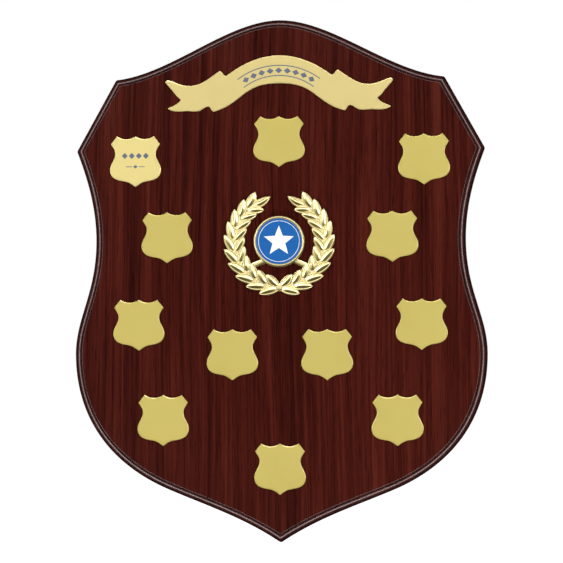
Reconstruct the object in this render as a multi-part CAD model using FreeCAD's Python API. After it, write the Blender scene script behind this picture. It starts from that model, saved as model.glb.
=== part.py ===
"""Perpetual award shield: a veneered wooden board with a moulded edge that carries twelve
stamped name plates, a scroll title plate and a cast laurel wreath with a round centre, and
hangs from a keyhole plate let into its back.

Millimetres. X runs to the viewer's right, -Y is the front and Z is up. The wall plane is
Y = 0, and the origin is the centre of the keyhole's entry hole on it.
"""

import math
import os

import FreeCAD
import Part

# Board
BOARD_TOP = 145.0  # heights are from the board's layout centre, until export
BOARD_THICK = 15.0
VENEER = 0.6
BACK_SHEET = 0.5
MOULD_WIDTH = 4.2
MOULD_STEP = 1.5
QUIRK_WIDTH = 0.9
QUIRK_DEPTH = 0.5
OVOLO_RADIUS = 2.8

# Right half of the board's outline, from the top centre clockwise to the foot. A step is a
# straight line to one point, or a cubic curve given by two handles and its end point.
BOARD_HALF = [
    (0, BOARD_TOP),
    [(29.0, BOARD_TOP), (60.2, 115.8), (91.0, 112.7)],
    [(113.0, 73.0)],
    [(106.6, 56.6), (102.2, 40.5), (102.2, 23.0)],
    [(102.2, -5.7), (113.7, -19.2), (113.7, -39.5)],
    [(113.7, -73.8), (95.6, -100.0), (62.0, -114.3)],
    [(40.2, -123.5), (20.2, -129.8), (0, -143.4)],
]

# Stamped sheet: name plates and scroll
SHEET = 0.5
TAPE = 0.7
STAMP_HEIGHT = SHEET + TAPE
STAMP_BEVEL = 0.35
RIM_WALL = 1.1
PLATE_HALF = [
    (0, 14.0),
    [(3.0, 11.9), (6.9, 11.7), (10.2, 14.0)],
    [(13.6, 9.7)],
    [(12.7, 8.1), (11.2, 6.5), (11.2, 4.2)],
    [(11.2, 1.0), (14.1, -1.1), (14.1, -4.6)],
    [(14.1, -10.6), (7.6, -10.5), (4.9, -11.2)],
    [(2.6, -11.9), (1.6, -13.0), (0, -14.0)],
]
PLATE_TAPE = (17.0, 14.0)
PLATE_TAPE_DROP = 1.5
# Each row of plates: distance of the pair from the centre line (0 for a single), and height.
PLATE_ROWS = [
    (0.0, 76.9),
    (79.4, 66.6),
    (61.9, 24.4),
    (77.6, -23.7),
    (26.0, -40.1),
    (64.2, -76.0),
    (0.0, -102.6),
]

SCROLL_Z = 109.0
SCROLL_HALF = [
    (0, 15.4),
    [(10.4, 15.4), (20.3, 10.9), (29.0, 4.4)],
    [(30.6, 4.2), (31.0, 7.2), (32.8, 7.0)],
    [(39.0, 3.2), (42.5, -0.9), (49.5, -0.9)],
    [(54.5, -0.9), (57.2, 1.5), (61.0, 2.3)],
    [(62.6, 2.5), (63.0, 1.3), (62.2, 0.5)],
    [(60.5, -1.6), (58.6, -3.6), (57.3, -5.4)],
    [(56.3, -6.9), (55.3, -7.3), (54.2, -8.6)],
    [(55.8, -10.9), (58.6, -12.0), (61.5, -13.2)],
    [(59.5, -15.1), (56.0, -15.1), (52.0, -14.8)],
    [(49.0, -14.6), (47.2, -15.3), (44.4, -14.9)],
    [(42.0, -14.3), (40.8, -12.2), (38.9, -12.5)],
    [(37.1, -12.9), (37.6, -15.4), (35.6, -15.2)],
    [(18.9, -10.1), (20.4, 0.1), (0, 0.1)],
]
SCROLL_TAPE_CROWN = (34.0, 7.0, 7.4)  # width, height, height of its centre
SCROLL_TAPE_TAIL = (13.0, 8.0, 45.5, -7.6)  # width, height, and where its centre is

# Wreath: two branches on one circle about the round centre
WREATH_Z = 21.9
BRANCH_RADIUS = 25.4
LEAF_PAIRS = 10
FIRST_LEAF_TIP = 115.5  # degrees from +X, of the uppermost pair on the left branch
LAST_ROOT = 269.0  # the branches' stems meet at 270 degrees, the foot
LEAF_PITCH, PITCH_GROWTH = 14.0, 0.09  # from pair to pair, and its growth down the branch
LEAF_LEAN = 20.0  # degrees that a leaf's root lies behind its tip
OUTER_TIP, OUTER_ROOT = 30.3, 25.7
INNER_TIP, INNER_ROOT = 19.3, 24.9
LEAF_WIDTH = 4.8
LEAF_HEIGHT = 2.7
LEAF_EDGE = 1.4
TOP_LEAF_TIP = 101.0
WEB_HEIGHT = 0.9
WEB_INNER, WEB_OUTER = 22.9, 27.6
CUP_RADIUS = 14.0
CUP_TOP_RADIUS = 13.7
CUP_HEIGHT = 4.6
DISC_RADIUS = 12.5
DISC_THICK = 1.2
LABEL_THICK = 0.2
RECESS_RADIUS = DISC_RADIUS + 0.1
RECESS_DEPTH = 1.6
STRAP_WIDTH = 3.0
STRAP_HEIGHT = 1.35
STRAP_START, STRAP_END = (-7.5, -10.5), (-17.5, -14.2)
PEG_RADIUS = 1.25
PEG_LENGTH = 4.0
PEG_CLEARANCE = 0.05
WREATH_TAPE_RADIUS = 11.0
WREATH_TAPE_THICK = 0.5

# Hanging hardware
KEYHOLE_Z = 100.0  # height of the entry hole above the layout centre
KEYHOLE_RADIUS = 4.5
SLOT_RADIUS = 2.3
SLOT_RISE = 10.0
HANGER_THICK = 1.5
HANGER_RADIUS = 8.0
HANGER_TOP, HANGER_BOTTOM = 22.0, -14.0  # from the entry hole
HANGER_GAP = 0.15
POCKET_RADIUS = 5.0
POCKET_DEPTH = 6.0
SCREW_HEIGHTS = {"hanger_screw_upper": 18.0, "hanger_screw_lower": -9.0}
SCREW_RADIUS = 1.45
SCREW_HEAD_RADIUS = 2.9
SCREW_LENGTH = 12.0
SCREW_TIP_RADIUS, SCREW_TIP_LENGTH = 0.2, 3.0
CROSS_LENGTH, CROSS_WIDTH, CROSS_DEPTH = 3.0, 0.7, 0.9

FRONT = -BOARD_THICK
BACKWARD = FreeCAD.Vector(0, 1, 0)
FORWARD = FreeCAD.Vector(0, -1, 0)


def point(x, z, y=0.0):
    """A point of a front view, at depth y."""
    return FreeCAD.Vector(x, y, z)


def half_edges(half, side, y):
    """One half of a mirrored outline as edges at depth y, with side +1 right and -1 left."""
    edges = []
    start = half[0]
    for step in half[1:]:
        poles = [point(side * x, z, y) for x, z in [start, *step]]
        if len(poles) == 2:
            edges.append(Part.makeLine(*poles))
        else:
            curve = Part.BezierCurve()
            curve.setPoles(poles)
            edges.append(curve.toShape())
        start = step[-1]
    return edges


def outline(half, y=0.0):
    """The closed, mirrored outline of a half, at depth y."""
    return Part.Wire(Part.__sortEdges__(half_edges(half, 1, y) + half_edges(half, -1, y)))


def inset(wire, distance, side):
    """The wire moved inwards by a distance, as a polygon with sides up to a length."""
    inner = wire.makeOffset2D(-distance, 0, False, False, True)
    corners = []
    for edge in inner.OrderedEdges:
        steps = edge.discretize(Number=max(2, math.ceil(edge.Length / side) + 1))
        if edge.Orientation == "Reversed":
            steps.reverse()
        corners += [point(p.x, p.z, wire.BoundBox.Center.y) for p in steps[:-1]]
    return Part.makePolygon(corners + corners[:1])


def prism(wire, depth):
    """The solid that fills a wire, from its plane towards the front."""
    return Part.Face(wire).extrude(FORWARD * depth)


def rod(radius, x, z, y_from, y_to):
    """A cylinder along Y."""
    return Part.makeCylinder(radius, y_to - y_from, point(x, z, y_from), BACKWARD)


def stadium(radius, z_low, z_high, y_from, y_to):
    """An upright slot of round ends, whose end centres are at z_low and z_high."""
    ends = rod(radius, 0, z_low, y_from, y_to).fuse(rod(radius, 0, z_high, y_from, y_to))
    middle = Part.makeBox(
        2 * radius, y_to - y_from, z_high - z_low, point(-radius, z_low, y_from)
    )
    return ends.fuse(middle).removeSplitter()


def hanger_pocket():
    """The shallow recess for the keyhole plate and the deep one behind its slot."""
    recess = stadium(
        HANGER_RADIUS + HANGER_GAP,
        KEYHOLE_Z + HANGER_BOTTOM + HANGER_RADIUS,
        KEYHOLE_Z + HANGER_TOP - HANGER_RADIUS,
        -HANGER_THICK,
        1.0,
    )
    deep = stadium(
        POCKET_RADIUS,
        KEYHOLE_Z,
        KEYHOLE_Z + SLOT_RISE,
        -HANGER_THICK - POCKET_DEPTH,
        1.0,
    )
    return recess.fuse(deep)


def build_board():
    """The core with its moulded edge, the face veneer and the backing sheet."""
    side = 3.0
    step_height = BOARD_THICK - MOULD_STEP
    core = prism(outline(BOARD_HALF), step_height - BACK_SHEET)
    core.translate(FORWARD * BACK_SHEET)
    rim = [e for e in core.Edges if e.BoundBox.YMax < 0.01 - step_height]
    core = core.makeFillet(OVOLO_RADIUS, rim)
    face = inset(outline(BOARD_HALF), MOULD_WIDTH, side)
    shoulder = inset(outline(BOARD_HALF), MOULD_WIDTH - QUIRK_WIDTH, side)
    quirk = prism(shoulder, QUIRK_DEPTH).cut(prism(face, QUIRK_DEPTH))
    quirk.translate(FORWARD * (step_height - QUIRK_DEPTH))
    raised = prism(face, MOULD_STEP - VENEER)
    raised.translate(FORWARD * step_height)
    veneer = prism(face, VENEER)
    veneer.translate(FORWARD * (BOARD_THICK - VENEER))
    sheet = prism(outline(BOARD_HALF), BACK_SHEET)
    bores = hanger_pocket()
    for height in SCREW_HEIGHTS.values():
        bores = bores.fuse(rod(SCREW_RADIUS, 0, KEYHOLE_Z + height, -SCREW_LENGTH, 1.0))
    for x in (-BRANCH_RADIUS, BRANCH_RADIUS):
        hole = rod(PEG_RADIUS + PEG_CLEARANCE, x, WREATH_Z, FRONT - 1, FRONT + PEG_LENGTH + 0.5)
        bores = bores.fuse(hole)
    return {
        "board_core": core.cut(quirk).fuse(raised).cut(bores),
        "face_veneer": veneer.cut(bores),
        "back_sheet": sheet.cut(bores),
    }


def stamping(half):
    """A sheet stamped to an outline: a flat top, a bevelled rim and a hollow back."""
    foot = outline(half)
    solid = prism(foot, STAMP_HEIGHT)
    top = [e for e in solid.Edges if e.BoundBox.YMax < 0.01 - STAMP_HEIGHT]
    solid = solid.makeChamfer(STAMP_BEVEL, top)
    return solid.cut(prism(inset(foot, RIM_WALL, 0.8), TAPE))


def pad(width, height, x, z):
    """A rectangle of double-sided tape on the board's face."""
    corner = point(x - width / 2, z - height / 2, FRONT - TAPE)
    return Part.makeBox(width, TAPE, height, corner)


def build_name_plates():
    """Twelve stamped plates and the tape behind each, numbered by rows from the top left."""
    pattern = stamping(PLATE_HALF)
    spots = []
    for spread, height in PLATE_ROWS:
        sides = (-1, 1) if spread else (0,)
        spots += [(side * spread, height) for side in sides]
    nodes = {}
    for number, (x, z) in enumerate(spots, 1):
        plate = pattern.copy()
        plate.translate(point(x, z, FRONT))
        nodes[f"name_plate_{number:02d}"] = plate
        nodes[f"name_plate_tape_{number:02d}"] = pad(*PLATE_TAPE, x, z - PLATE_TAPE_DROP)
    return nodes


def build_scroll():
    """The scroll-shaped title plate and its three strips of tape."""
    scroll = stamping(SCROLL_HALF)
    scroll.translate(point(0, SCROLL_Z, FRONT))
    crown_width, crown_height, crown_z = SCROLL_TAPE_CROWN
    tail_width, tail_height, tail_x, tail_z = SCROLL_TAPE_TAIL
    tapes = [pad(crown_width, crown_height, 0, SCROLL_Z + crown_z)]
    for side in (-1, 1):
        tapes.append(pad(tail_width, tail_height, side * tail_x, SCROLL_Z + tail_z))
    return {"scroll_plate": scroll, "scroll_tape": Part.makeCompound(tapes)}


def polar(radius, degrees):
    """A front-view point about the wreath's centre."""
    turn = math.radians(degrees)
    return radius * math.cos(turn), radius * math.sin(turn)


def leaf(root, tip, width=LEAF_WIDTH):
    """One laurel leaf: four facets that meet on a ridge, above an upright edge."""
    (x0, z0), (x1, z1) = root, tip
    length = math.hypot(x1 - x0, z1 - z0)
    along = ((x1 - x0) / length, (z1 - z0) / length)
    across = (-along[1], along[0])

    def spot(share, aside, height):
        x = x0 + along[0] * share * length + across[0] * aside
        z = z0 + along[1] * share * length + across[1] * aside
        return point(x, z, FRONT - height)

    rim = [(0.0, 0.0), (0.28, 0.5), (0.6, 0.42), (1.0, 0.0), (0.6, -0.42), (0.28, -0.5)]
    low = [spot(s, a * width, 0.0) for s, a in rim]
    edge = [spot(s, a * width, LEAF_EDGE) for s, a in rim]
    crest = spot(0.4, 0.0, LEAF_HEIGHT)
    faces = [Part.Face(Part.makePolygon(low + low[:1]))]
    for i in range(len(rim)):
        j = (i + 1) % len(rim)
        faces.append(Part.Face(Part.makePolygon([low[i], low[j], edge[j], edge[i], low[i]])))
        faces.append(Part.Face(Part.makePolygon([edge[i], edge[j], crest, edge[i]])))
    return Part.makeSolid(Part.makeShell(faces))


def strap():
    """The bar that carries the cup from the left branch."""
    (x0, z0), (x1, z1) = STRAP_START, STRAP_END
    length = math.hypot(x1 - x0, z1 - z0)
    bar = Part.makeBox(
        length, STRAP_HEIGHT, STRAP_WIDTH, point(0, -STRAP_WIDTH / 2, FRONT - STRAP_HEIGHT)
    )
    bar.rotate(point(0, 0), BACKWARD, -math.degrees(math.atan2(z1 - z0, x1 - x0)))
    bar.translate(point(x0, z0))
    return bar


def band(inner, outer, start, end, height):
    """Part of a flat ring on the board's face, from one angle to another."""
    middle = (start + end) / 2
    outer_points = [point(*polar(outer, a), FRONT) for a in (start, middle, end)]
    inner_points = [point(*polar(inner, a), FRONT) for a in (end, middle, start)]
    edges = [
        Part.Arc(*outer_points).toShape(),
        Part.makeLine(outer_points[-1], inner_points[0]),
        Part.Arc(*inner_points).toShape(),
        Part.makeLine(inner_points[-1], outer_points[0]),
    ]
    return prism(Part.Wire(edges), height)


def left_branch():
    """The leaves, the web under them, the strap and the locating peg of one side."""
    solids = []
    for k in range(LEAF_PAIRS):
        tip = FIRST_LEAF_TIP + LEAF_PITCH * k + PITCH_GROWTH * k * k
        root = min(tip + LEAF_LEAN, LAST_ROOT)
        solids.append(leaf(polar(OUTER_ROOT, root), polar(OUTER_TIP, tip)))
        solids.append(leaf(polar(INNER_ROOT, root), polar(INNER_TIP, tip)))
    top_root = polar(BRANCH_RADIUS, FIRST_LEAF_TIP + LEAF_LEAN - 2.0)
    solids.append(leaf(top_root, polar(BRANCH_RADIUS, TOP_LEAF_TIP)))
    solids.append(band(WEB_INNER, WEB_OUTER, FIRST_LEAF_TIP + 4.0, 270.0, WEB_HEIGHT))
    solids.append(strap())
    solids.append(rod(PEG_RADIUS, -BRANCH_RADIUS, 0, FRONT - WEB_HEIGHT / 2, FRONT + PEG_LENGTH))
    return solids


def build_wreath():
    """The one-piece wreath casting and what its cup holds."""
    branch = left_branch()
    mirrored = [s.mirror(point(0, 0), FreeCAD.Vector(1, 0, 0)) for s in branch]
    cup_top = point(0, 0, FRONT - CUP_HEIGHT)
    cup = Part.makeCone(CUP_TOP_RADIUS, CUP_RADIUS, CUP_HEIGHT, cup_top, BACKWARD)
    casting = cup.multiFuse(branch + mirrored)
    recess_floor = FRONT - CUP_HEIGHT + RECESS_DEPTH
    casting = casting.cut(rod(RECESS_RADIUS, 0, 0, FRONT - CUP_HEIGHT - 1, recess_floor))
    casting = casting.cut(rod(WREATH_TAPE_RADIUS + 0.3, 0, 0, FRONT - WREATH_TAPE_THICK, FRONT))
    nodes = {
        "wreath": casting,
        "wreath_tape": rod(WREATH_TAPE_RADIUS, 0, 0, FRONT - WREATH_TAPE_THICK, FRONT),
        "centre_disc": rod(DISC_RADIUS, 0, 0, recess_floor - DISC_THICK, recess_floor),
        "centre_label": rod(
            DISC_RADIUS - 0.1,
            0,
            0,
            recess_floor - DISC_THICK - LABEL_THICK,
            recess_floor - DISC_THICK,
        ),
    }
    for shape in nodes.values():
        shape.translate(point(0, WREATH_Z))
    return nodes


def screw(height):
    """A countersunk wood screw with a cross recess, flush with the wall plane."""
    head_depth = SCREW_HEAD_RADIUS - SCREW_RADIUS
    head = Part.makeCone(
        SCREW_RADIUS, SCREW_HEAD_RADIUS, head_depth, point(0, height, -head_depth), BACKWARD
    )
    tip_y = SCREW_TIP_LENGTH - SCREW_LENGTH
    shank = rod(SCREW_RADIUS, 0, height, tip_y, -head_depth)
    tip_end = point(0, height, -SCREW_LENGTH)
    tip = Part.makeCone(SCREW_TIP_RADIUS, SCREW_RADIUS, SCREW_TIP_LENGTH, tip_end, BACKWARD)
    solid = head.fuse(shank).fuse(tip)
    for length, tall in ((CROSS_LENGTH, CROSS_WIDTH), (CROSS_WIDTH, CROSS_LENGTH)):
        corner = point(-length / 2, height - tall / 2, -CROSS_DEPTH)
        solid = solid.cut(Part.makeBox(length, CROSS_DEPTH + 1, tall, corner))
    return solid.removeSplitter()


def build_hanger():
    """The keyhole plate and its two screws."""
    plate = stadium(
        HANGER_RADIUS,
        KEYHOLE_Z + HANGER_BOTTOM + HANGER_RADIUS,
        KEYHOLE_Z + HANGER_TOP - HANGER_RADIUS,
        -HANGER_THICK,
        0.0,
    )
    plate = plate.cut(rod(KEYHOLE_RADIUS, 0, KEYHOLE_Z, -HANGER_THICK - 1, 1))
    slot = stadium(SLOT_RADIUS, KEYHOLE_Z, KEYHOLE_Z + SLOT_RISE, -HANGER_THICK - 1, 1)
    plate = plate.cut(slot)
    nodes = {}
    for name, height in SCREW_HEIGHTS.items():
        nodes[name] = screw(KEYHOLE_Z + height)
        depth = SCREW_HEAD_RADIUS - SCREW_RADIUS
        sink = Part.makeCone(
            SCREW_RADIUS, SCREW_HEAD_RADIUS, depth, point(0, KEYHOLE_Z + height, -depth), BACKWARD
        )
        plate = plate.cut(sink)
        plate = plate.cut(rod(SCREW_RADIUS, 0, KEYHOLE_Z + height, -HANGER_THICK - 1, 0))
    nodes["hanger_plate"] = plate
    return nodes


def main():
    os.makedirs("parts", exist_ok=True)
    nodes = {}
    nodes.update(build_board())
    nodes.update(build_scroll())
    nodes.update(build_name_plates())
    nodes.update(build_wreath())
    nodes.update(build_hanger())
    for name, shape in nodes.items():
        shape.translate(point(0, -KEYHOLE_Z))
        shape.exportStep(f"parts/{name}.step")
        print(name, shape.ShapeType, len(shape.Solids), round(shape.Volume, 1), shape.isValid())


main()
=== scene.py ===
"""Visual model of the award shield: moulded board, gilt plates, wreath and printed centre.

Shapes are worked out in millimetres in the layout of the board's front, with z measured from
the layout centre, and put into the frame in metres when a mesh is made.
"""

import math

import bmesh
import bpy
from mathutils import Matrix, Quaternion, Vector


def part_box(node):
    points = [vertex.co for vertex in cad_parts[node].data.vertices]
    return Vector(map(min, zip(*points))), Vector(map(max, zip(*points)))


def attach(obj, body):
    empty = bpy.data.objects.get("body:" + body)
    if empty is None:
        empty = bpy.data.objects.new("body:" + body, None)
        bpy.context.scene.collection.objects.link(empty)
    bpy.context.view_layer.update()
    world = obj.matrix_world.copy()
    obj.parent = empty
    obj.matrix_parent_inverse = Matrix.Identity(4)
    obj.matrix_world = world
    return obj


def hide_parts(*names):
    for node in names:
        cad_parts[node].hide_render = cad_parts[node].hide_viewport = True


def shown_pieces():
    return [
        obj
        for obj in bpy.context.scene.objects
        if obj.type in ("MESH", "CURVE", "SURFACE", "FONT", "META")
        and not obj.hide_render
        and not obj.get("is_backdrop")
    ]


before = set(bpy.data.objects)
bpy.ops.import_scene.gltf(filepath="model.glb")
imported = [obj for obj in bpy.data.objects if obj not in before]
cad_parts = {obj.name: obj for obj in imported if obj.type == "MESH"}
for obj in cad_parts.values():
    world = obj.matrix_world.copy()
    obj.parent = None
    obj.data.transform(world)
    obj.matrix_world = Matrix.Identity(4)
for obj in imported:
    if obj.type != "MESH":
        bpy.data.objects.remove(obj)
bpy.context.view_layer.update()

MM = 0.001
KEYHOLE_Z = 100.0  # the frame's origin, above the layout centre
FACE = -15.0  # y of the board's front face

# --- Outlines -------------------------------------------------------------------------------

# Right half of the board, from the top centre clockwise to the foot: straight lines to a
# point, or cubic curves as two handles and an end point.
BOARD_HALF = [
    (0, 145.0),
    [(29.0, 145.0), (60.2, 115.8), (91.0, 112.7)],
    [(113.0, 73.0)],
    [(106.6, 56.6), (102.2, 40.5), (102.2, 23.0)],
    [(102.2, -5.7), (113.7, -19.2), (113.7, -39.5)],
    [(113.7, -73.8), (95.6, -100.0), (62.0, -114.3)],
    [(40.2, -123.5), (20.2, -129.8), (0, -143.4)],
]
BOARD_SPACING = 3.0
CORNER_RADIUS = 1.8
CORNER_STEPS = 6
SHARP_TURN = math.radians(18)
TRACE_STEPS = 200  # fine steps along each stretch of an outline, before it is spaced evenly


def cubic(p0, p1, p2, p3, t):
    """A point of a cubic curve."""
    s = 1 - t
    weights = (s * s * s, 3 * s * s * t, 3 * s * t * t, t * t * t)
    return sum((w * p for w, p in zip(weights, (p0, p1, p2, p3))), Vector((0, 0)))


def trace(half, spacing):
    """A mirrored outline as a closed loop of points, clockwise from the top centre."""
    right = [Vector(half[0])]
    shares = [i / TRACE_STEPS for i in range(TRACE_STEPS + 1)]
    for step in half[1:]:
        start = right[-1]
        ends = [Vector(p) for p in step]
        if len(ends) == 1:
            fine = [start.lerp(ends[0], share) for share in shares]
        else:
            fine = [cubic(start, *ends, share) for share in shares]
        lengths = [0.0]
        for a, b in zip(fine, fine[1:]):
            lengths.append(lengths[-1] + (b - a).length)
        count = max(1, round(lengths[-1] / spacing))
        for k in range(1, count + 1):
            wanted = lengths[-1] * k / count
            i = next(j for j, reached in enumerate(lengths) if reached >= wanted - 1e-9)
            share = (wanted - lengths[i - 1]) / (lengths[i] - lengths[i - 1])
            right.append(fine[i - 1].lerp(fine[i], share))
    left = [Vector((-p.x, p.y)) for p in reversed(right[1:-1])]
    return right + left


def inset(loop, distance):
    """A clockwise loop moved inwards, with mitred corners."""
    moved = []
    for before, here, after in zip(loop[-1:] + loop[:-1], loop, loop[1:] + loop[:1]):
        a = (here - before).normalized()
        b = (after - here).normalized()
        inward = (Vector((a.y, -a.x)) + Vector((b.y, -b.x))).normalized()
        cosine = inward.dot(Vector((a.y, -a.x)))
        moved.append(here + inward * (distance / cosine))
    return moved


def sharp_corners(loop):
    """Indices of the points where a loop turns abruptly."""
    found = set()
    for i, here in enumerate(loop):
        a = here - loop[i - 1]
        b = loop[(i + 1) % len(loop)] - here
        if abs(a.angle_signed(b)) > SHARP_TURN:
            found.add(i)
    return found


def soften(loop, corners, radius):
    """The loop with an arc of CORNER_STEPS points in place of each listed corner."""
    out = []
    for i, here in enumerate(loop):
        if i not in corners:
            out.append(here)
            continue
        a = (loop[i - 1] - here).normalized()
        b = (loop[(i + 1) % len(loop)] - here).normalized()
        half_angle = a.angle(b) / 2
        trim = radius / math.tan(half_angle)
        start, end = here + a * trim, here + b * trim
        centre = here + (a + b).normalized() * (radius / math.sin(half_angle))
        sweep = (start - centre).angle_signed(end - centre)
        for k in range(CORNER_STEPS):
            arm = (start - centre).copy()
            arm.rotate(Matrix.Rotation(-sweep * k / (CORNER_STEPS - 1), 2))
            out.append(centre + arm)
    return out


def ring(loop, corners, distance, radius, y):
    """One level of a moulded edge: the outline inset, softened and put at depth y."""
    flat = soften(inset(loop, distance), corners, radius)
    return [Vector((p.x, y, p.y)) for p in flat]


def stadium(radius, z_low, z_high, y, steps=16):
    """An upright slot of round ends as a clockwise loop at depth y."""
    loop = []
    for k in range(steps + 1):
        turn = math.pi * k / steps
        loop.append(Vector((-radius * math.cos(turn), y, z_high + radius * math.sin(turn))))
    for k in range(steps + 1):
        turn = math.pi * k / steps
        loop.append(Vector((radius * math.cos(turn), y, z_low - radius * math.sin(turn))))
    return loop


# --- Mesh making ----------------------------------------------------------------------------


def bridge(bm, loops):
    """Quads between successive loops of equal length; returns the loops' vertices."""
    rows = [[bm.verts.new(p) for p in loop] for loop in loops]
    for low, high in zip(rows, rows[1:]):
        for i in range(len(low)):
            j = (i + 1) % len(low)
            bm.faces.new((low[i], low[j], high[j], high[i]))
    return rows


def loop_edges(bm, row):
    """The edges that run round a row of vertices."""
    pairs = zip(row, row[1:] + row[:1])
    return [bm.edges.get(pair) or bm.edges.new(pair) for pair in pairs]


def fill(bm, *rows):
    """A flat cap on one row, or between an outer row and the holes in it."""
    edges = [edge for row in rows for edge in loop_edges(bm, row)]
    bmesh.ops.triangle_fill(bm, use_beauty=True, edges=edges)


def finish_piece(bm, name, material, replaced=(), smooth=30.0):
    """Turns a bmesh in layout millimetres into a piece on the body, in the frame's metres."""
    bmesh.ops.recalc_face_normals(bm, faces=bm.faces)
    bm.transform(Matrix.Scale(MM, 4) @ Matrix.Translation((0, 0, -KEYHOLE_Z)))
    mesh = bpy.data.meshes.new(name)
    bm.to_mesh(mesh)
    bm.free()
    mesh.shade_smooth()
    mesh.set_sharp_from_angle(angle=math.radians(smooth))
    piece = bpy.data.objects.new(name, mesh)
    bpy.context.scene.collection.objects.link(piece)
    mesh.materials.append(material)
    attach(piece, "root")
    if replaced:
        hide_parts(*replaced)


# --- Materials ------------------------------------------------------------------------------

CREST_Y = -13.3  # depths between which painted shade darkens the moulding's colour and its lacquer dulls
RIM_Y = -12.0
RIM_DULLING = 0.2  # added roughness at the board's side


class Graph:
    """A material's node tree, with a short way to add and join nodes."""

    def __init__(self, name):
        self.material = bpy.data.materials.new(name)
        self.material.use_nodes = True
        self.tree = self.material.node_tree
        self.shader = self.tree.nodes["Principled BSDF"]
        self.coords = self.add("ShaderNodeTexCoord").outputs["Object"]

    def put(self, node, name, value):
        """Sets an input, or links it if the value is another node's output."""
        socket = node.inputs[name]
        if isinstance(value, bpy.types.NodeSocket):
            self.tree.links.new(value, socket)
        else:
            socket.default_value = value

    def add(self, kind, inputs=None, **settings):
        """A new node with its inputs and settings."""
        node = self.tree.nodes.new(kind)
        for key, value in settings.items():
            setattr(node, key, value)
        for name, value in (inputs or {}).items():
            self.put(node, name, value)
        return node

    def mapped(self, scale, vector=None):
        """The object's coordinates, stretched."""
        source = self.coords if vector is None else vector
        return self.add("ShaderNodeMapping", {"Vector": source, "Scale": scale}).outputs[0]

    def noise(self, vector, scale, detail=2.0, roughness=0.5):
        """Noise between 0 and 1."""
        inputs = {"Vector": vector, "Scale": scale, "Detail": detail, "Roughness": roughness}
        return self.add("ShaderNodeTexNoise", inputs).outputs["Fac"]

    def math(self, operation, a, b):
        """A sum, difference or product."""
        return self.add("ShaderNodeMath", {0: a, 1: b}, operation=operation).outputs[0]

    def remap(self, value, low, high, to_low, to_high):
        """A value carried from one range to another, held at the ends."""
        inputs = {
            "Value": value,
            "From Min": low,
            "From Max": high,
            "To Min": to_low,
            "To Max": to_high,
        }
        return self.add("ShaderNodeMapRange", inputs).outputs[0]

    def ramp(self, value, stops):
        """Colours along a value, from (position, colour) stops."""
        node = self.add("ShaderNodeValToRGB", {"Fac": value})
        elements = node.color_ramp.elements
        while len(elements) < len(stops):
            elements.new(0.5)
        for element, (position, colour) in zip(elements, stops):
            element.position = position
            element.color = (*colour, 1)
        return node.outputs["Color"]

    def shade(self, colour, tone):
        """A colour multiplied by another or by a grey value."""
        node = self.add("ShaderNodeMix", data_type="RGBA", blend_type="MULTIPLY")
        node.inputs["Factor"].default_value = 1.0
        slot_a, slot_b = (socket for socket in node.inputs if socket.type == "RGBA")
        self.tree.links.new(colour, slot_a)
        self.tree.links.new(tone, slot_b)
        return next(socket for socket in node.outputs if socket.type == "RGBA")

    def bump(self, height, strength, distance):
        """Relief on the shader, distance in metres."""
        inputs = {"Height": height, "Strength": strength, "Distance": distance}
        self.put(self.shader, "Normal", self.add("ShaderNodeBump", inputs).outputs[0])

    def set(self, **values):
        """Inputs of the shader, with spaces in their names written as underscores."""
        for key, value in values.items():
            self.put(self.shader, key.replace("_", " "), value)


def wood(name, dark, middle, light, roughness, specular=0.5, rim_shade=1.0):
    """Straight vertical grain under lacquer: broad bands, fine streaks and short pores.

    Where rim_shade is under 1, painted shade darkens the colour to that share of itself from
    the moulding's crest to the board's side, where the lacquer also reflects less and turns
    duller.
    """
    g = Graph(name)
    wander = g.noise(g.mapped((9.0, 9.0, 3.0)), 1.0, 2.0)
    shift = g.math("MULTIPLY", g.math("SUBTRACT", wander, 0.5), 0.02)
    offset = g.add("ShaderNodeCombineXYZ", {"X": shift}).outputs[0]
    bent = g.add("ShaderNodeVectorMath", {0: g.coords, 1: offset}, operation="ADD").outputs[0]
    bands = g.noise(g.mapped((120.0, 60.0, 2.4), bent), 1.0, 3.0, 0.55)
    streaks = g.noise(g.mapped((760.0, 300.0, 12.0), bent), 1.0, 3.0, 0.6)
    pores = g.noise(g.mapped((2600.0, 1500.0, 110.0), bent), 1.0, 1.0)
    grain = g.math("ADD", g.math("MULTIPLY", bands, 0.45), g.math("MULTIPLY", streaks, 0.55))
    colour = g.ramp(grain, [(0.34, dark), (0.5, middle), (0.66, light)])
    pits = g.remap(pores, 0.3, 0.42, 0.55, 1.0)
    tone = g.ramp(pits, [(0, (0, 0, 0)), (1, (1, 1, 1))])
    sheen = g.remap(streaks, 0.3, 0.7, roughness - 0.03, roughness + 0.04)
    gloss = specular
    if rim_shade < 1.0:
        # painted shade: the colour darkens towards the board's side, where the edge turns from
        # the light, and the lacquer's reflection dims with it
        depth = g.add("ShaderNodeSeparateXYZ", {0: g.coords}).outputs["Y"]
        painted_rim_shade = g.remap(depth, CREST_Y * MM, RIM_Y * MM, 1.0, rim_shade)
        tone = g.shade(tone, painted_rim_shade)
        dulling = g.remap(depth, CREST_Y * MM, RIM_Y * MM, 0.0, RIM_DULLING)
        sheen = g.math("ADD", sheen, dulling)
        gloss = g.math("MULTIPLY", painted_rim_shade, specular)
    g.set(Base_Color=g.shade(colour, tone), Specular_IOR_Level=gloss, Roughness=sheen)
    g.bump(g.math("ADD", g.math("MULTIPLY", grain, 0.3), pits), 0.12, 0.00004)
    return g.material


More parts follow.
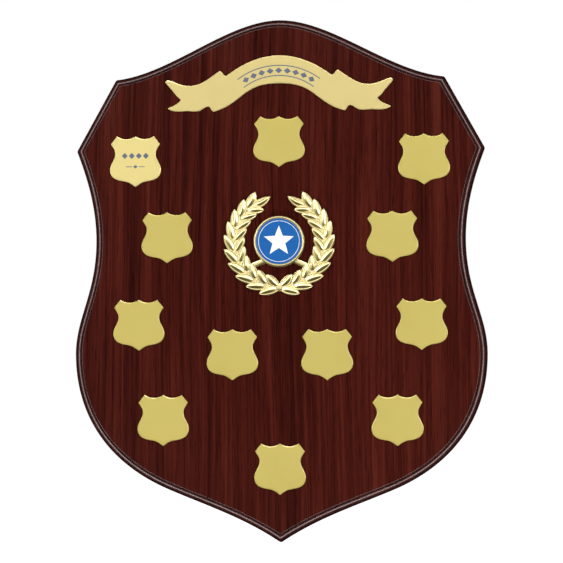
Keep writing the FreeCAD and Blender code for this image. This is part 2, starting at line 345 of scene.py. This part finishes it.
def gilt(name, colour, deep, metallic, roughness, scratch_scale, relief, lacquer_ior=1.5):
    """Lacquered gold-coloured metal with faint tone changes and fine scratches or grain."""
    g = Graph(name)
    cloud = g.noise(g.coords, 45.0, 3.0)
    scratches = g.noise(g.mapped(scratch_scale), 1.0, 2.0)
    tone = g.math("ADD", g.math("MULTIPLY", cloud, 0.7), g.math("MULTIPLY", scratches, 0.3))
    g.set(Base_Color=g.ramp(tone, [(0.3, deep), (0.55, colour)]))
    g.set(Metallic=metallic, Coat_Weight=1.0, Coat_Roughness=0.1, Coat_IOR=lacquer_ior)
    g.set(Roughness=g.remap(scratches, 0.3, 0.7, roughness - 0.05, roughness + 0.05))
    g.bump(scratches, relief, 0.00003)
    return g.material


def plastic(name, colour, variation, roughness, scale):
    """A printed, painted or foam surface with a slight speckle."""
    g = Graph(name)
    speckle = g.noise(g.coords, scale, 2.0)
    darker = tuple(c * (1 - variation) for c in colour)
    g.set(Base_Color=g.ramp(speckle, [(0.35, darker), (0.65, colour)]))
    g.set(Roughness=g.remap(speckle, 0.3, 0.7, roughness - 0.04, roughness + 0.04))
    g.bump(speckle, 0.08, 0.00003)
    return g.material


def zinc(name, tint):
    """Zinc-plated steel with a fine rolled grain and a mottled sheen."""
    g = Graph(name)
    mottle = g.noise(g.coords, 420.0, 3.0, 0.6)
    rolled = g.noise(g.mapped((6000.0, 3000.0, 350.0)), 1.0, 2.0)
    tone = g.math("ADD", g.math("MULTIPLY", mottle, 0.6), g.math("MULTIPLY", rolled, 0.4))
    low = tuple(c * 0.75 for c in tint)
    g.set(Base_Color=g.ramp(tone, [(0.3, low), (0.65, tint)]))
    g.set(Metallic=1.0)
    g.set(Roughness=g.remap(tone, 0.3, 0.7, 0.28, 0.44))
    g.bump(rolled, 0.1, 0.00004)
    return g.material


FACE_WOOD = wood(
    "mahogany_face",
    (0.0165, 0.0022, 0.0015),
    (0.0425, 0.0054, 0.0033),
    (0.073, 0.0115, 0.0066),
    0.14,
)
# the moulded edge's stain colour, with painted shade that darkens it towards the board's side
EDGE_WOOD = wood(
    "stained_and_shaded_edge",
    (0.024, 0.0032, 0.0022),
    (0.046, 0.0064, 0.0044),
    (0.070, 0.0120, 0.0075),
    0.26,
    specular=0.8,
    rim_shade=0.35,
)
BACK_WOOD = wood(
    "balancing_veneer",
    (0.05, 0.017, 0.008),
    (0.085, 0.032, 0.016),
    (0.12, 0.05, 0.026),
    0.5,
)
BRUSHED = {"scratch_scale": (5200.0, 300.0, 240.0), "relief": 0.05}
CAST = {"scratch_scale": (900.0, 900.0, 900.0), "relief": 0.015, "lacquer_ior": 2.6}
PLATE_GILT = gilt(
    "gilt_plate", (0.58, 0.475, 0.128), (0.555, 0.45, 0.118), 0.5, 0.38, **BRUSHED
)
ENGRAVED_GILT = gilt(
    "gilt_engraved", (0.80, 0.665, 0.26), (0.77, 0.635, 0.24), 0.5, 0.36, **BRUSHED
)
SCROLL_GILT = gilt(
    "gilt_scroll", (0.68, 0.555, 0.225), (0.65, 0.53, 0.21), 0.5, 0.38, **BRUSHED
)
CAST_GILT = gilt("gilt_casting", (0.80, 0.66, 0.22), (0.71, 0.55, 0.145), 0.9, 0.36, **CAST)
ENGRAVING = plastic("engraving_fill", (0.10, 0.12, 0.17), 0.2, 0.5, 900.0)
LABEL_BLUE = plastic("label_blue", (0.0145, 0.104, 0.335), 0.06, 0.22, 300.0)
LABEL_WHITE = plastic("label_white", (0.80, 0.80, 0.80), 0.04, 0.22, 300.0)
DISC_METAL = zinc("disc_metal", (0.80, 0.80, 0.82))
FOAM = plastic("foam_tape", (0.75, 0.75, 0.72), 0.25, 0.8, 2500.0)
PLATE_ZINC = zinc("hanger_zinc", (0.62, 0.63, 0.65))
SCREW_ZINC = zinc("screw_zinc", (0.55, 0.54, 0.50))

# --- Board ----------------------------------------------------------------------------------

VENEER_BACK = FACE + 0.6
SHEET_FRONT = -0.5
STEP = -13.5  # y of the moulding's top
OVOLO_WIDTH = 3.3
OVOLO_HEIGHT = 5.0
OVOLO_STEPS = 12
STEP_INSET = 3.4  # the moulding's narrow flat top ends here
QUIRK_INSETS = (3.5, 4.12)  # the groove between the moulding and the face
QUIRK_Y = -13.0
ARRIS = 0.5
ARRIS_STEPS = 4
FACE_INSET = 4.2
CORNER_TIGHTENING = 0.28  # loss of corner radius for each millimetre of inset
SMALLEST_CORNER = 0.15
SHEET_CHAMFER = 0.25
RECESS = (8.15, KEYHOLE_Z - 6.0, KEYHOLE_Z + 14.0)
RECESS_Y = -1.5
POCKET = (5.0, KEYHOLE_Z, KEYHOLE_Z + 10.0)
POCKET_Y = -7.5

board_loop = trace(BOARD_HALF, BOARD_SPACING)
board_corners = sharp_corners(board_loop)


def board_ring(distance, y):
    """A level of the board's edge; the corners get tighter towards the inside."""
    radius = max(CORNER_RADIUS - distance * CORNER_TIGHTENING, SMALLEST_CORNER)
    return ring(board_loop, board_corners, distance, radius, y)


def build_body():
    """The core with its side, ovolo, quirk and the hanger's pocket."""
    bm = bmesh.new()
    levels = [(0.0, SHEET_FRONT)]
    for k in range(OVOLO_STEPS + 1):
        turn = math.pi / 2 * k / OVOLO_STEPS
        across = OVOLO_WIDTH * (1 - math.cos(turn))
        levels.append((across, STEP + OVOLO_HEIGHT * (1 - math.sin(turn))))
    levels.append((STEP_INSET, STEP))
    levels += [(inner, QUIRK_Y) for inner in QUIRK_INSETS]
    levels.append((FACE_INSET, VENEER_BACK))
    rows = bridge(bm, [board_ring(d, y) for d, y in levels])
    fill(bm, rows[-1])
    pocket = [
        stadium(*RECESS, SHEET_FRONT),
        stadium(*RECESS, RECESS_Y),
        stadium(*POCKET, RECESS_Y),
        stadium(*POCKET, POCKET_Y),
    ]
    walls = bridge(bm, pocket)
    fill(bm, walls[-1])
    fill(bm, rows[0], walls[0])
    finish_piece(bm, "board_body", EDGE_WOOD, ["board_core"])


def build_veneer():
    """The face veneer with a softened arris."""
    bm = bmesh.new()
    levels = [(FACE_INSET, VENEER_BACK), (FACE_INSET, FACE + ARRIS)]
    for k in range(1, ARRIS_STEPS + 1):
        turn = math.pi / 2 * k / ARRIS_STEPS
        inner = FACE_INSET + ARRIS * (1 - math.cos(turn))
        levels.append((inner, FACE + ARRIS * (1 - math.sin(turn))))
    rows = bridge(bm, [board_ring(d, y) for d, y in levels])
    fill(bm, rows[0])
    fill(bm, rows[-1])
    finish_piece(bm, "board_face", FACE_WOOD, ["face_veneer"])


def build_back_sheet():
    """The backing sheet, with the hanger's cut-out."""
    bm = bmesh.new()
    levels = ((0, SHEET_FRONT), (0, -SHEET_CHAMFER), (SHEET_CHAMFER, 0.0))
    rows = bridge(bm, [board_ring(d, y) for d, y in levels])
    hole = bridge(bm, [stadium(*RECESS, SHEET_FRONT), stadium(*RECESS, 0.0)])
    fill(bm, rows[0], hole[0])
    fill(bm, rows[-1], hole[-1])
    finish_piece(bm, "board_back", BACK_WOOD, ["back_sheet"])


build_body()
build_veneer()
build_back_sheet()

# --- Wreath ---------------------------------------------------------------------------------

WREATH_Z = 21.9
LEAF_PAIRS = 10
FIRST_TIP = 115.5  # degrees about the wreath's centre, anticlockwise from the right
LEAF_PITCH = 14.0
PITCH_GROWTH = 0.09
LEAF_LEAN = 21.0  # from a leaf's tip back to its root
LAST_ROOT = 269.5
OUTER_LEAF = {"width": 5.4, "bend": -0.5}
OUTER_ROOT = 25.7
OUTER_TIP = 30.2
OUTER_GROWTH = 0.05  # how much further out each tip stands than the one before
INNER_LEAF = {"width": 5.1, "bend": 0.4}
INNER_ROOT = 24.9
INNER_TIP = 19.3
END_LEAF = {"width": 4.7, "bend": -0.8}
END_ROOT = (25.3, 130.0)  # radius and degrees
END_TIP = (25.2, 101.0)

LEAF_ALONG = 18
LEAF_ACROSS = 22
LEAF_STUB = 0.05  # half width left at a leaf's root and tip
ROOT_HEIGHT = 0.7
TIP_RISE = 1.2
CROWN = 0.75
CROWN_START = 0.12  # shares of the leaf's length
CROWN_SPAN = 0.84
CROWN_HALF = 0.58  # shares of the leaf's half width, like the next three
BORDER_AT = 0.8
BORDER_SPREAD = 0.16
EDGE_FROM = 0.86
BORDER_HEIGHT = 0.14
EDGE_DROP = 0.35

WEB_STEPS = 120
WEB_SPAN = (121.0, 419.0)
WEB_INNER = 22.9
WEB_OUTER = 27.6
WEB_SIDE = 0.6
WEB_TOP = 0.9
WEB_CHAMFER = 0.5

STRAP_START = (-8.4, -10.6)  # from the wreath's centre
STRAP_END = (-17.2, -14.2)
STRAP_HALF = 1.5
STRAP_TOP = 1.35
STRAP_CHAMFER = 0.25

ROUND_STEPS = 96
CUP_BORE = 12.75
CUP_FLOOR = 3.0
# The cup's wall from its foot outside, over the rim and back in: radius and height.
CUP_WALL = [
    (CUP_BORE, 0.0),
    (14.0, 0.0),
    (14.0, 3.2),
    (13.92, 3.7),
    (13.7, 4.15),
    (13.4, 4.4),
    (13.1, 4.45),
    (12.85, 4.35),
    (CUP_BORE, 4.15),
]


def polar(radius, degrees):
    """A point about the wreath's centre, in the layout."""
    turn = math.radians(degrees)
    return Vector((radius * math.cos(turn), radius * math.sin(turn) + WREATH_Z))


def leaf_height(along, across):
    """Height of a leaf's face above its edge: a raised border round a plump middle."""
    aside = abs(across)
    reach = min(1.0, max(0.0, (along - CROWN_START) / CROWN_SPAN))
    swell = math.sin(math.pi * reach) ** 0.7
    middle = CROWN * swell * max(0.0, 1 - (aside / CROWN_HALF) ** 1.5) ** 1.1
    border = BORDER_HEIGHT * math.exp(-(((aside - BORDER_AT) / BORDER_SPREAD) ** 2))
    beyond = max(0.0, (aside - EDGE_FROM) / (1 - EDGE_FROM))
    return middle + border - EDGE_DROP * beyond**2


def leaf_row(spine, across, s, half_width, mirror):
    """A leaf's cross-section at share s of its length: places on its face and at its feet."""
    face, feet = [], []
    fade = min(1.0, 6 * (1 - s) + 0.2)
    for j in range(LEAF_ACROSS + 1):
        t = 2 * j / LEAF_ACROSS - 1
        p = spine + across * (t * half_width)
        x = -p.x if mirror else p.x
        height = ROOT_HEIGHT + TIP_RISE * s + leaf_height(s, t) * fade
        face.append(Vector((x, FACE - height, p.y)))
        if j in (0, LEAF_ACROSS):
            feet.append(Vector((x, FACE, p.y)))
    return face, feet


def add_leaf(bm, root, tip, mirror, width, bend):
    """One laurel leaf, low at its root and high at its tip, on upright edges."""
    axis = tip - root
    length = axis.length
    along = axis / length
    across = Vector((-along.y, along.x))
    top, foot = [], []
    for i in range(LEAF_ALONG + 1):
        s = i / LEAF_ALONG
        swell = max(0.0, 1 - abs(2 * s**0.9 - 1) ** 2.1) ** 0.85
        half_width = width / 2 * swell + LEAF_STUB
        spine = root + along * (s * length) + across * (bend * math.sin(math.pi * s))
        face, feet = leaf_row(spine, across, s, half_width, mirror)
        top.append([bm.verts.new(v) for v in face])
        foot.append([bm.verts.new(v) for v in feet])
    for a, b in zip(top, top[1:]):
        for j in range(LEAF_ACROSS):
            bm.faces.new((a[j], a[j + 1], b[j + 1], b[j]))
    for i in range(LEAF_ALONG):
        bm.faces.new((top[i][0], top[i + 1][0], foot[i + 1][0], foot[i][0]))
        bm.faces.new((top[i][-1], foot[i][-1], foot[i + 1][-1], top[i + 1][-1]))
        bm.faces.new((foot[i][0], foot[i + 1][0], foot[i + 1][1], foot[i][1]))
    bm.faces.new([*top[0], foot[0][-1], foot[0][0]])
    bm.faces.new([*reversed(top[-1]), foot[-1][0], foot[-1][-1]])


def lathe(bm, profile):
    """A surface turned about the wreath's centre from (radius, height) corners."""
    loops = []
    for radius, height in profile:
        loop = []
        for k in range(ROUND_STEPS):
            p = polar(radius, 360.0 * k / ROUND_STEPS)
            loop.append(Vector((p.x, FACE - height, p.y)))
        loops.append(loop)
    return bridge(bm, loops)


def add_turned_ring(bm, profile):
    """A closed ring, turned about the wreath's centre from a closed profile."""
    rows = lathe(bm, profile)
    for i in range(ROUND_STEPS):
        j = (i + 1) % ROUND_STEPS
        bm.faces.new((rows[-1][i], rows[-1][j], rows[0][j], rows[0][i]))


def add_bar(bm, sections):
    """A closed solid through cross-sections of equal length, capped at both ends."""
    rows = [[bm.verts.new(p) for p in section] for section in sections]
    for a, b in zip(rows, rows[1:]):
        for i in range(len(a)):
            j = (i + 1) % len(a)
            bm.faces.new((a[i], a[j], b[j], b[i]))
    bm.faces.new(rows[0])
    bm.faces.new(rows[-1])


def add_web(bm):
    """The flat band that joins the leaves, from one branch's top round the foot to the other."""
    corners = (
        (WEB_INNER, 0.0),
        (WEB_INNER, WEB_SIDE),
        (WEB_INNER + WEB_CHAMFER, WEB_TOP),
        (WEB_OUTER - WEB_CHAMFER, WEB_TOP),
        (WEB_OUTER, WEB_SIDE),
        (WEB_OUTER, 0.0),
    )
    start, end = WEB_SPAN
    sections = []
    for k in range(WEB_STEPS + 1):
        angle = start + (end - start) * k / WEB_STEPS
        places = [(polar(radius, angle), height) for radius, height in corners]
        sections.append([(p.x, FACE - height, p.y) for p, height in places])
    add_bar(bm, sections)


def add_strap(bm, mirror):
    """The bar from the cup to one branch, with chamfered long edges."""
    start, end = (Vector((x, z + WREATH_Z)) for x, z in (STRAP_START, STRAP_END))
    along = (end - start).normalized()
    across = Vector((-along.y, along.x))
    half, top = STRAP_HALF, STRAP_TOP
    bevelled_half, side = half - STRAP_CHAMFER, top - STRAP_CHAMFER
    corners = (
        (-half, 0.0),
        (-half, side),
        (-bevelled_half, top),
        (bevelled_half, top),
        (half, side),
        (half, 0.0),
    )
    sections = []
    for p in (start, end):
        places = [(p + across * aside, height) for aside, height in corners]
        sections.append([(-q.x if mirror else q.x, FACE - height, q.y) for q, height in places])
    add_bar(bm, sections)


def add_branch(bm, mirror):
    """Pairs of leaves from the top of one side down to its foot, and the leaf at its end."""
    for k in range(LEAF_PAIRS):
        tip = FIRST_TIP + LEAF_PITCH * k + PITCH_GROWTH * k * k
        root = min(tip + LEAF_LEAN, LAST_ROOT)
        outer_tip = OUTER_TIP + OUTER_GROWTH * k
        add_leaf(bm, polar(OUTER_ROOT, root), polar(outer_tip, tip), mirror, **OUTER_LEAF)
        add_leaf(bm, polar(INNER_ROOT, root), polar(INNER_TIP, tip), mirror, **INNER_LEAF)
    add_leaf(bm, polar(*END_ROOT), polar(*END_TIP), mirror, **END_LEAF)


def build_wreath():
    """Both branches, their straps and the cup, as one casting."""
    bm = bmesh.new()
    add_web(bm)
    for mirror in (False, True):
        add_strap(bm, mirror)
        add_branch(bm, mirror)
    add_turned_ring(bm, CUP_WALL)
    floor = lathe(bm, [(CUP_BORE, 0.0), (CUP_BORE, CUP_FLOOR)])
    fill(bm, floor[0])
    fill(bm, floor[-1])
    finish_piece(bm, "wreath_casting", CAST_GILT, ["wreath"], smooth=50.0)


build_wreath()

# --- Stamped plates and scroll --------------------------------------------------------------

PLATES = 12
ENGRAVED_PLATE = 2
STAMP_HEIGHT = 1.2
STAMP_BEVEL = 0.35
TAPE_THICK = 0.7
TAPE_ROOM = 0.4  # gap between a tape and the hollow round it
PLATE_SPACING = 0.5
PLATE_HALF = [
    (0, 14.0),
    [(3.0, 11.9), (6.9, 11.7), (10.2, 14.0)],
    [(13.6, 9.7)],
    [(12.7, 8.1), (11.2, 6.5), (11.2, 4.2)],
    [(11.2, 1.0), (14.1, -1.1), (14.1, -4.6)],
    [(14.1, -10.6), (7.6, -10.5), (4.9, -11.2)],
    [(2.6, -11.9), (1.6, -13.0), (0, -14.0)],
]
SCROLL_Z = 109.0
SCROLL_SPACING = 0.6
SCROLL_HALF = [
    (0, 15.4),
    [(10.4, 15.4), (20.3, 10.9), (29.0, 4.4)],
    [(30.6, 4.2), (31.0, 7.2), (32.8, 7.0)],
    [(39.0, 3.2), (42.5, -0.9), (49.5, -0.9)],
    [(54.5, -0.9), (57.2, 1.5), (61.0, 2.3)],
    [(62.6, 2.5), (63.0, 1.3), (62.2, 0.5)],
    [(60.5, -1.6), (58.6, -3.6), (57.3, -5.4)],
    [(56.3, -6.9), (55.3, -7.3), (54.2, -8.6)],
    [(55.8, -10.9), (58.6, -12.0), (61.5, -13.2)],
    [(59.5, -15.1), (56.0, -15.1), (52.0, -14.8)],
    [(49.0, -14.6), (47.2, -15.3), (44.4, -14.9)],
    [(42.0, -14.3), (40.8, -12.2), (38.9, -12.5)],
    [(37.1, -12.9), (37.6, -15.4), (35.6, -15.2)],
    [(18.9, -10.1), (20.4, 0.1), (0, 0.1)],
]
# The scroll's strips of tape: width, height, and place from the scroll's layout centre.
SCROLL_TAPES = [(34.0, 7.0, 0.0, 7.4), (13.0, 8.0, -45.5, -7.6), (13.0, 8.0, 45.5, -7.6)]


def pocket_loop(width, height, x, z, y):
    """A rectangle a little larger than a strip of tape, as a loop at depth y."""
    half_width, half_height = width / 2 + TAPE_ROOM, height / 2 + TAPE_ROOM
    signs = ((-1, 1), (1, 1), (1, -1), (-1, -1))
    return [Vector((x + a * half_width, y, z + b * half_height)) for a, b in signs]


def build_stamping(node, loop, centre, tapes, material, slot):
    """A sheet stamping with a narrow bevelled rim, hollow behind where its tape lies."""
    bm = bmesh.new()
    front = FACE - STAMP_HEIGHT
    levels = [(0, FACE), (0, front + STAMP_BEVEL), (STAMP_BEVEL, front)]
    loops = []
    for distance, y in levels:
        flat = [p + centre for p in inset(loop, distance)]
        loops.append([Vector((p.x, y, p.y)) for p in flat])
    rows = bridge(bm, loops)
    fill(bm, rows[-1])
    holes = []
    for width, height, x, z in tapes:
        place = (width, height, x + centre.x, z + centre.y)
        walls = bridge(bm, [pocket_loop(*place, FACE), pocket_loop(*place, FACE - TAPE_THICK)])
        fill(bm, walls[-1])
        holes.append(walls[0])
    fill(bm, rows[0], *holes)
    finish_piece(bm, f"{node}_stamping", material, [node])


def middle_of(node):
    """The middle of a CAD node's front view, in the layout."""
    low, high = (Vector(corner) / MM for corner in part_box(node))
    return Vector(((low.x + high.x) / 2, (low.z + high.z) / 2 + KEYHOLE_Z))


def build_stampings():
    """The twelve name plates, one of them engraved, and the scroll."""
    plate_loop = trace(PLATE_HALF, PLATE_SPACING)
    for number in range(1, PLATES + 1):
        node = f"name_plate_{number:02d}"
        tape_node = f"name_plate_tape_{number:02d}"
        low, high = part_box(tape_node)
        shift = middle_of(tape_node) - middle_of(node)
        tape = ((high[0] - low[0]) / MM, (high[2] - low[2]) / MM, shift.x, shift.y)
        look = (PLATE_GILT, "gilt_plate")
        if number == ENGRAVED_PLATE:
            look = (ENGRAVED_GILT, "gilt_engraved")
        build_stamping(node, plate_loop, middle_of(node), [tape], *look)
    scroll_loop = trace(SCROLL_HALF, SCROLL_SPACING)
    place = Vector((0, SCROLL_Z))
    build_stamping("scroll_plate", scroll_loop, place, SCROLL_TAPES, SCROLL_GILT, "gilt_scroll")


build_stampings()

# --- Printed centre and engraving -----------------------------------------------------------

LABEL_HEIGHT = 4.4  # of the label's face above the board's
PRINT_THICK = 0.02
STAR_POINTS = 5
STAR_TIP = 8.6
STAR_NOTCH = 3.7
PRINT_RING = (11.05, 11.3)  # inner and outer radius
MARK_DEPTH = 0.05
MARK_PROUD = 0.02


def prism(bm, corners, y_back, y_front):
    """A flat shape given thickness."""
    loops = [[Vector((p.x, y, p.y)) for p in corners] for y in (y_back, y_front)]
    rows = bridge(bm, loops)
    fill(bm, rows[0])
    fill(bm, rows[1])


def build_print():
    """A plain five-pointed star inside a thin ring, printed on the centre's label."""
    bm = bmesh.new()
    star = []
    for k in range(2 * STAR_POINTS):
        radius = STAR_NOTCH if k % 2 else STAR_TIP
        star.append(polar(radius, 90.0 - 180.0 * k / STAR_POINTS))
    low, high = LABEL_HEIGHT, LABEL_HEIGHT + PRINT_THICK
    prism(bm, star, FACE - low, FACE - high)
    inner, outer = PRINT_RING
    add_turned_ring(bm, [(outer, low), (outer, high), (inner, high), (inner, low)])
    finish_piece(bm, "label_print", LABEL_WHITE)


build_print()


def mark(bm, corners):
    """A filled engraving: a thin shape let into a plate's face."""
    front = FACE - STAMP_HEIGHT
    prism(bm, corners, front + MARK_DEPTH, front - MARK_PROUD)


def lozenge(centre, along, length, height):
    """A diamond shape, pointing along a direction."""
    across = Vector((-along.y, along.x))
    a, b = along * (length / 2), across * (height / 2)
    return [centre - a, centre + b, centre + a, centre - b]


def build_scroll_engraving():
    """A plain ornament on the scroll: two curved rules with a row of lozenges between them."""
    bm = bmesh.new()
    centre, radius = Vector((0, 81.3)), 34.8
    half_span, rule_width, rule_gap, rule_steps = 37.0, 0.55, 2.8, 36

    def spot(distance, degrees):
        turn = math.radians(degrees)
        return centre + Vector((math.sin(turn), math.cos(turn))) * distance

    for offset in (-rule_gap, rule_gap):
        angles = [half_span * (2 * k / rule_steps - 1) for k in range(rule_steps + 1)]
        low = [spot(radius + offset - rule_width / 2, a) for a in angles]
        high = [spot(radius + offset + rule_width / 2, a) for a in angles]
        mark(bm, high + low[::-1])
    lozenges, pitch, length, height = 9, 7.8, 4.0, 3.2
    for k in range(lozenges):
        degrees = pitch * (k - (lozenges - 1) / 2)
        turn = math.radians(degrees)
        along = Vector((math.cos(turn), -math.sin(turn)))
        mark(bm, lozenge(spot(radius, degrees), along, length, height))
    finish_piece(bm, "scroll_engraving", ENGRAVING)


def build_plate_engraving():
    """A plain ornament on the engraved plate: a row of lozenges over a short rule."""
    bm = bmesh.new()
    centre, level = Vector((-79.4, 66.6)), Vector((1, 0))
    lozenges, pitch, rise, length, height = 4, 3.9, 3.1, 3.3, 3.4
    for k in range(lozenges):
        place = Vector((pitch * (k - (lozenges - 1) / 2), rise))
        mark(bm, lozenge(centre + place, level, length, height))
    rule_z, rule_from, rule_to, rule_width = -2.9, 1.9, 5.2, 0.4
    small_length, small_height = 2.6, 2.0
    mark(bm, lozenge(centre + Vector((0, rule_z)), level, small_length, small_height))
    low, high = rule_z - rule_width / 2, rule_z + rule_width / 2
    for side in (-1, 1):
        x0, x1 = side * rule_from, side * rule_to
        mark(bm, [centre + Vector(p) for p in ((x0, high), (x1, high), (x1, low), (x0, low))])
    finish_piece(bm, "plate_engraving", ENGRAVING)


build_scroll_engraving()
build_plate_engraving()

# --- Carried-over CAD nodes -----------------------------------------------------------------


def dress(node, material, bevel=0.0):
    """Gives a CAD node its finished material and, where asked, softened edges."""
    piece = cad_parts[node]
    piece.data.materials.clear()
    piece.data.materials.append(material)
    if bevel:
        soft = piece.modifiers.new("soften", "BEVEL")
        soft.width = bevel * MM
        soft.segments = 2
        soft.limit_method = "ANGLE"
        soft.angle_limit = math.radians(25)


for number in range(1, PLATES + 1):
    dress(f"name_plate_tape_{number:02d}", FOAM)
dress("scroll_tape", FOAM)
dress("wreath_tape", FOAM)
dress("centre_disc", DISC_METAL)
dress("centre_label", LABEL_BLUE)
dress("hanger_plate", PLATE_ZINC, 0.15)
dress("hanger_screw_upper", SCREW_ZINC)
dress("hanger_screw_lower", SCREW_ZINC)

# --- Floor, light and camera ----------------------------------------------------------------

FLOOR_HALF = 6.0  # metres, like the other sizes of the stage
FLOOR_Z = -0.30
AIM = Vector((0, 0, -0.1))  # the middle of the shield
RING_RADIUS = 0.95
RING_BEFORE = 0.95
RING_SIZE = (0.76, 0.34)
RING_POWER = (4.1, 4.1, 5.0, 5.6, 5.6, 5.6, 4.5, 4.1)  # watts, clockwise from the top
LOWER_PANELS = (3, 4, 5)  # these leave the wreath unlit
UPRIGHT = (0, 0, 1)


def camera_only(thing):
    """Shows a stage object to the camera without letting it light or shadow the object."""
    thing.visible_diffuse = False
    thing.visible_glossy = False
    thing.visible_shadow = False
    thing.visible_transmission = False


def build_floor():
    """A plain pale floor under the hanging shield."""
    bm = bmesh.new()
    corners = ((-1, -1), (1, -1), (1, 1), (-1, 1))
    bm.faces.new([bm.verts.new((a * FLOOR_HALF, b * FLOOR_HALF, FLOOR_Z)) for a, b in corners])
    mesh = bpy.data.meshes.new("floor")
    bm.to_mesh(mesh)
    bm.free()
    floor = bpy.data.objects.new("floor", mesh)
    bpy.context.scene.collection.objects.link(floor)
    g = Graph("pale_floor")
    g.set(Base_Color=(1, 1, 1, 1), Emission_Color=(1, 1, 1, 1), Emission_Strength=1.0)
    mesh.materials.append(g.material)
    camera_only(floor)
    floor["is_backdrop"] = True


def collect(name, wanted):
    """A collection of the pieces for which wanted is true, for lights to be linked to."""
    collection = bpy.data.collections.new(name)
    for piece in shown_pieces():
        if wanted(piece):
            collection.objects.link(piece)
    return collection


def is_casting(piece):
    """True for the wreath."""
    return piece.name == "wreath_casting"


def is_stamped(piece):
    """True for the scroll and the name plates."""
    return "gilt" in piece.active_material.name and not is_casting(piece)


def is_rear(piece):
    """True for the back sheet, the hanger plate and its screws."""
    return piece.name == "board_back" or piece.name.startswith("hanger")


def softbox(name, place, size, power, lit=None, level=(1, 0, 0)):
    """A rectangular light aimed at the middle of the shield, with its width along level.

    Where lit is given, the light reaches only that collection's pieces.
    """
    data = bpy.data.lights.new(name, "AREA")
    data.shape = "RECTANGLE"
    data.size, data.size_y = size
    data.energy = power
    light = bpy.data.objects.new(name, data)
    light.location = place
    away = (Vector(place) - AIM).normalized()
    upright = away.cross(Vector(level)).normalized()
    axes = Matrix((upright.cross(away), upright, away)).transposed()
    light.rotation_mode = "QUATERNION"
    light.rotation_quaternion = axes.to_quaternion()
    light.light_linking.receiver_collection = lit
    bpy.context.scene.collection.objects.link(light)


def build_lights():
    """A ring of softboxes before the shield, and others that reach only some of its pieces.

    The scroll and plates have one overhead and one at each side, the wreath has one in front,
    and the back has two behind.
    """
    casting = collect("casting", is_casting)
    others = collect("all_but_casting", lambda piece: not is_casting(piece))
    stamped = collect("stamped", is_stamped)
    rear = collect("rear", is_rear)
    for k, power in enumerate(RING_POWER):
        turn = 2 * math.pi * k / len(RING_POWER)
        across, up = math.sin(turn), math.cos(turn)
        place = AIM + Vector((across * RING_RADIUS, -RING_BEFORE, up * RING_RADIUS))
        lit = others if k in LOWER_PANELS else None
        softbox(f"ring_{k}", place, RING_SIZE, power, lit, level=(up, 0, -across))
    softbox("overhead", (0, -0.1, 1.1), (1.2, 0.7), 16.0, stamped)
    softbox("side_left", (-1.3, -0.15, 0.1), (0.9, 0.9), 8.0, stamped, level=UPRIGHT)
    softbox("side_right", (1.3, -0.15, 0.1), (0.9, 0.9), 6.0, stamped, level=UPRIGHT)
    softbox("front_fill", (-0.3, -1.25, 0.3), (1.8, 1.6), 8.2, casting)
    softbox("back_left", (-1.1, 1.1, 0.5), (0.8, 0.8), 9.0, rear)
    softbox("back_right", (1.1, 1.1, 0.5), (0.8, 0.8), 9.0, rear)


def build_world():
    """White to the camera, and a dim grey for everything else."""
    world = bpy.data.worlds.new("studio")
    bpy.context.scene.world = world
    world.use_nodes = True
    tree = world.node_tree
    background = tree.nodes["Background"]
    path = tree.nodes.new("ShaderNodeLightPath")
    level = tree.nodes.new("ShaderNodeMapRange")
    level.inputs["To Min"].default_value = 0.02
    level.inputs["To Max"].default_value = 1.0
    tree.links.new(path.outputs["Is Camera Ray"], level.inputs["Value"])
    tree.links.new(level.outputs[0], background.inputs["Strength"])
    background.inputs["Color"].default_value = (1, 1, 1, 1)


def build_camera():
    """Nearly square to the board, a little from its right and from below."""
    azimuth, elevation, roll = math.radians(3.57), math.radians(-1.77), math.radians(-0.195)
    distance = 1.0
    target = Vector((1.1 * MM, FACE * MM, -KEYHOLE_Z * MM))
    back = Vector(
        (
            math.sin(azimuth) * math.cos(elevation),
            -math.cos(azimuth) * math.cos(elevation),
            math.sin(elevation),
        )
    )
    data = bpy.data.cameras.new("camera")
    data.sensor_width = 36.0
    data.lens = 116.6
    data.clip_start, data.clip_end = 0.01, 50.0
    camera = bpy.data.objects.new("camera", data)
    camera.rotation_mode = "QUATERNION"
    upright = (-back).to_track_quat("-Z", "Y")
    camera.rotation_quaternion = upright @ Quaternion((0, 0, 1), roll)
    camera.location = target + back * distance
    bpy.context.scene.collection.objects.link(camera)
    bpy.context.scene.camera = camera


build_floor()
build_lights()
build_world()
build_camera()
bpy.context.scene.view_settings.view_transform = "Standard"
